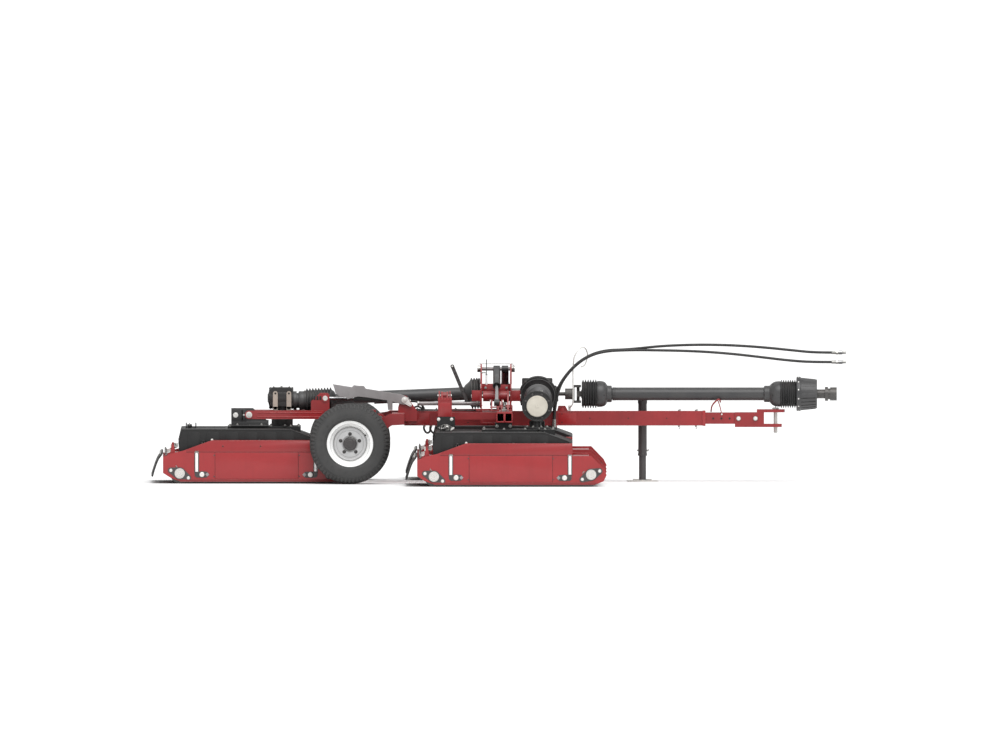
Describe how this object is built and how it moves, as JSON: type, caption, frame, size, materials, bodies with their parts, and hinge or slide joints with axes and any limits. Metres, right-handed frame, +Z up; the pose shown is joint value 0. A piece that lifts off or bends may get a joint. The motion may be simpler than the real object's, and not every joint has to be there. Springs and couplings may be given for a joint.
{
  "type": "pull-behind rotary mower",
  "caption": "Trailed rotary mower with a rear centre deck, folding front wing decks, full-width rollers, guarded driveline, drawbar, transport wheels and parking jack.",
  "frame": {"origin": "on the ground at the middle of the machine's length and width, hoses left out", "axes": "+X forward towards the hitch, +Y left, +Z up"},
  "size_m": [5.071, 3.7, 1.0126],
  "materials": {
    "red_paint": "satin enamel",
    "black_paint": "satin enamel",
    "black_plastic": "moulded polyethylene",
    "rubber": "flat",
    "tyre": "flat",
    "white_paint": "gloss enamel",
    "black_steel": "satin",
    "chrome": "polished",
    "bare_steel": "machined",
    "zinc": "zinc plated",
    "grey_paint": "satin",
    "hose": "flat"
  },
  "bodies": {
    "frame": {"main_beam": "red_paint", "inner_drawbar": "red_paint", "hitch_clevis": "red_paint", "axle_frame": "red_paint", "lift_tower": "red_paint", "splitter_gearbox": "black_paint", "pto_guard_rear": "black_plastic", "jack_tube": "black_paint", "hose_guide": "zinc", "hose_upper": "hose", "hose_lower": "hose", "coupler_upper": "zinc", "coupler_lower": "zinc"},
    "rear_section": {"rear_arm": "red_paint", "rear_deck_shell": "red_paint", "rear_belt_cover": "black_paint", "rear_rear_flap": "rubber", "rear_gearbox": "black_paint"},
    "pto_inner": {"pto_inner_shaft": "bare_steel"},
    "pto_outer": {"pto_outer_shaft": "bare_steel"},
    "pto_guard": {"pto_guard_front": "black_plastic"},
    "jack_foot": {"jack_leg": "black_paint"},
    "latch": {"transport_latch": "grey_paint"},
    "rear_cylinder_barrel": {"rear_lift_barrel": "black_paint"},
    "rear_cylinder_rod": {"rear_lift_rod": "chrome"},
    "rear_driveline_front": {"rear_drive_front": "black_plastic"},
    "rear_driveline_rear": {"rear_drive_rear": "black_plastic"},
    "wheel_right": {"right_tyre": "tyre", "right_rim": "white_paint"},
    "wheel_left": {"left_tyre": "tyre", "left_rim": "white_paint"},
    "right_wing": {"right_wing_arm": "red_paint", "right_deck_shell": "red_paint", "right_belt_cover": "black_paint", "right_rear_flap": "rubber", "right_gearbox": "black_paint", "right_cross_guard": "black_plastic"},
    "right_rear_roller": {"right_roller_rear": "black_steel"},
    "right_front_roller": {"right_roller_front": "black_steel"},
    "right_front_blade": {"right_blade_front": "black_steel"},
    "right_rear_blade": {"right_blade_rear": "black_steel"},
    "right_cylinder_barrel": {"right_lift_barrel": "black_paint"},
    "right_cylinder_rod": {"right_lift_rod": "chrome"},
    "left_wing": {"left_wing_arm": "red_paint", "left_deck_shell": "red_paint", "left_belt_cover": "black_paint", "left_rear_flap": "rubber", "left_gearbox": "black_paint", "left_cross_guard": "black_plastic"},
    "left_rear_roller": {"left_roller_rear": "black_steel"},
    "left_front_roller": {"left_roller_front": "black_steel"},
    "left_front_blade": {"left_blade_front": "black_steel"},
    "left_rear_blade": {"left_blade_rear": "black_steel"},
    "left_cylinder_barrel": {"left_lift_barrel": "black_paint"},
    "left_cylinder_rod": {"left_lift_rod": "chrome"},
    "rear_rear_roller": {"rear_roller_rear": "black_steel"},
    "rear_front_roller": {"rear_roller_front": "black_steel"},
    "rear_front_blade": {"rear_blade_front": "black_steel"},
    "rear_rear_blade": {"rear_blade_rear": "black_steel"}
  },
  "joints": [
    {"name": "wheel_right_spin", "type": "hinge", "parent": "frame", "child": "wheel_right", "pos_m": [-1.051, -0.82, 0.295], "axis": [0, 1, 0], "continuous": true},
    {"name": "wheel_left_spin", "type": "hinge", "parent": "frame", "child": "wheel_left", "pos_m": [-1.051, 0.82, 0.295], "axis": [0, 1, 0], "continuous": true},
    {"name": "right_wing_fold", "type": "hinge", "parent": "frame", "child": "right_wing", "pos_m": [0.015, -0.24, 0.63], "axis": [-1, 0, 0], "range_deg": [0, 85]},
    {"name": "right_rear_roller_spin", "type": "hinge", "parent": "right_wing", "child": "right_rear_roller", "pos_m": [-0.439, -1.205, 0.074], "axis": [0, 1, 0], "continuous": true},
    {"name": "right_front_roller_spin", "type": "hinge", "parent": "right_wing", "child": "right_front_roller", "pos_m": [0.709, -1.205, 0.088], "axis": [0, 1, 0], "continuous": true},
    {"name": "right_front_blade_spin", "type": "hinge", "parent": "right_wing", "child": "right_front_blade", "pos_m": [0.248, -1.505, 0.06], "axis": [0, 0, 1], "continuous": true},
    {"name": "right_rear_blade_spin", "type": "hinge", "parent": "right_wing", "child": "right_rear_blade", "pos_m": [0.018, -0.905, 0.06], "axis": [0, 0, 1], "continuous": true},
    {"name": "right_cylinder_swing", "type": "hinge", "parent": "frame", "child": "right_cylinder_barrel", "pos_m": [0.02, 0, 0.825], "axis": [-1, 0, 0], "range_deg": [0, 52.8]},
    {"name": "right_cylinder_stroke", "type": "slide", "parent": "right_cylinder_barrel", "child": "right_cylinder_rod", "axis": [0, -0.9387, -0.3447], "range_m": [-0.3099, 0]},
    {"name": "left_wing_fold", "type": "hinge", "parent": "frame", "child": "left_wing", "pos_m": [0.015, 0.24, 0.63], "axis": [1, 0, 0], "range_deg": [0, 85]},
    {"name": "left_rear_roller_spin", "type": "hinge", "parent": "left_wing", "child": "left_rear_roller", "pos_m": [-0.439, 1.205, 0.074], "axis": [0, 1, 0], "continuous": true},
    {"name": "left_front_roller_spin", "type": "hinge", "parent": "left_wing", "child": "left_front_roller", "pos_m": [0.709, 1.205, 0.088], "axis": [0, 1, 0], "continuous": true},
    {"name": "left_front_blade_spin", "type": "hinge", "parent": "left_wing", "child": "left_front_blade", "pos_m": [0.248, 1.505, 0.06], "axis": [0, 0, 1], "continuous": true},
    {"name": "left_rear_blade_spin", "type": "hinge", "parent": "left_wing", "child": "left_rear_blade", "pos_m": [0.018, 0.905, 0.06], "axis": [0, 0, 1], "continuous": true},
    {"name": "left_cylinder_swing", "type": "hinge", "parent": "frame", "child": "left_cylinder_barrel", "pos_m": [0.08, 0, 0.825], "axis": [1, 0, 0], "range_deg": [0, 52.8]},
    {"name": "left_cylinder_stroke", "type": "slide", "parent": "left_cylinder_barrel", "child": "left_cylinder_rod", "axis": [0, 0.9387, -0.3447], "range_m": [-0.3099, 0]},
    {"name": "rear_arm_lift", "type": "hinge", "parent": "frame", "child": "rear_section", "pos_m": [-0.832, 0, 0.466], "axis": [0, 1, 0], "range_deg": [0, 12]},
    {"name": "rear_rear_roller_spin", "type": "hinge", "parent": "rear_section", "child": "rear_rear_roller", "pos_m": [-2.294, 0, 0.074], "axis": [0, 1, 0], "continuous": true},
    {"name": "rear_front_roller_spin", "type": "hinge", "parent": "rear_section", "child": "rear_front_roller", "pos_m": [-1.146, 0, 0.088], "axis": [0, 1, 0], "continuous": true},
    {"name": "rear_front_blade_spin", "type": "hinge", "parent": "rear_section", "child": "rear_front_blade", "pos_m": [-1.607, 0.3, 0.06], "axis": [0, 0, 1], "continuous": true},
    {"name": "rear_rear_blade_spin", "type": "hinge", "parent": "rear_section", "child": "rear_rear_blade", "pos_m": [-1.837, -0.3, 0.06], "axis": [0, 0, 1], "continuous": true},
    {"name": "rear_cylinder_swing", "type": "hinge", "parent": "frame", "child": "rear_cylinder_barrel", "pos_m": [-0.651, -0.16, 0.602], "axis": [0, 1, 0], "range_deg": [0, 8.55]},
    {"name": "rear_cylinder_stroke", "type": "slide", "parent": "rear_cylinder_barrel", "child": "rear_cylinder_rod", "axis": [-0.9998, 0, 0.0206], "range_m": [-0.0329, 0]},
    {"name": "rear_driveline_swing", "type": "hinge", "parent": "frame", "child": "rear_driveline_front", "pos_m": [-0.117, 0, 0.648], "axis": [0, 1, 0], "range_deg": [0, 5.42]},
    {"name": "rear_driveline_stroke", "type": "slide", "parent": "rear_driveline_front", "child": "rear_driveline_rear", "axis": [-0.9991, 0, -0.0415], "range_m": [-0.0398, 0]},
    {"name": "pto_spin", "type": "hinge", "parent": "frame", "child": "pto_inner", "pos_m": [0.614, 0, 0.642], "axis": [1, 0, 0], "continuous": true},
    {"name": "pto_telescope", "type": "slide", "parent": "pto_inner", "child": "pto_outer", "axis": [1, 0, 0], "range_m": [0, 0.25]},
    {"name": "pto_guard_telescope", "type": "slide", "parent": "frame", "child": "pto_guard", "axis": [1, 0, 0], "range_m": [0, 0.25]},
    {"name": "jack_leg_slide", "type": "slide", "parent": "frame", "child": "jack_foot", "axis": [0, 0, 1], "range_m": [0, 0.17]},
    {"name": "transport_latch_lift", "type": "hinge", "parent": "frame", "child": "latch", "pos_m": [-0.651, -0.16, 0.602], "axis": [0, 1, 0], "range_deg": [0, 20]}
  ],
  "couplings": [
    {"joint": "right_cylinder_swing", "follows": "right_wing_fold", "ratio": 0.6188},
    {"joint": "right_cylinder_stroke", "follows": "right_wing_fold", "m_per_rad": -0.20822},
    {"joint": "left_cylinder_swing", "follows": "left_wing_fold", "ratio": 0.6188},
    {"joint": "left_cylinder_stroke", "follows": "left_wing_fold", "m_per_rad": -0.20822},
    {"joint": "rear_cylinder_swing", "follows": "rear_arm_lift", "ratio": 0.70435},
    {"joint": "rear_cylinder_stroke", "follows": "rear_arm_lift", "m_per_rad": -0.15225},
    {"joint": "rear_driveline_swing", "follows": "rear_arm_lift", "ratio": 0.44311},
    {"joint": "rear_driveline_stroke", "follows": "rear_arm_lift", "m_per_rad": -0.18545},
    {"joint": "pto_guard_telescope", "follows": "pto_telescope", "ratio": 1}
  ]
}
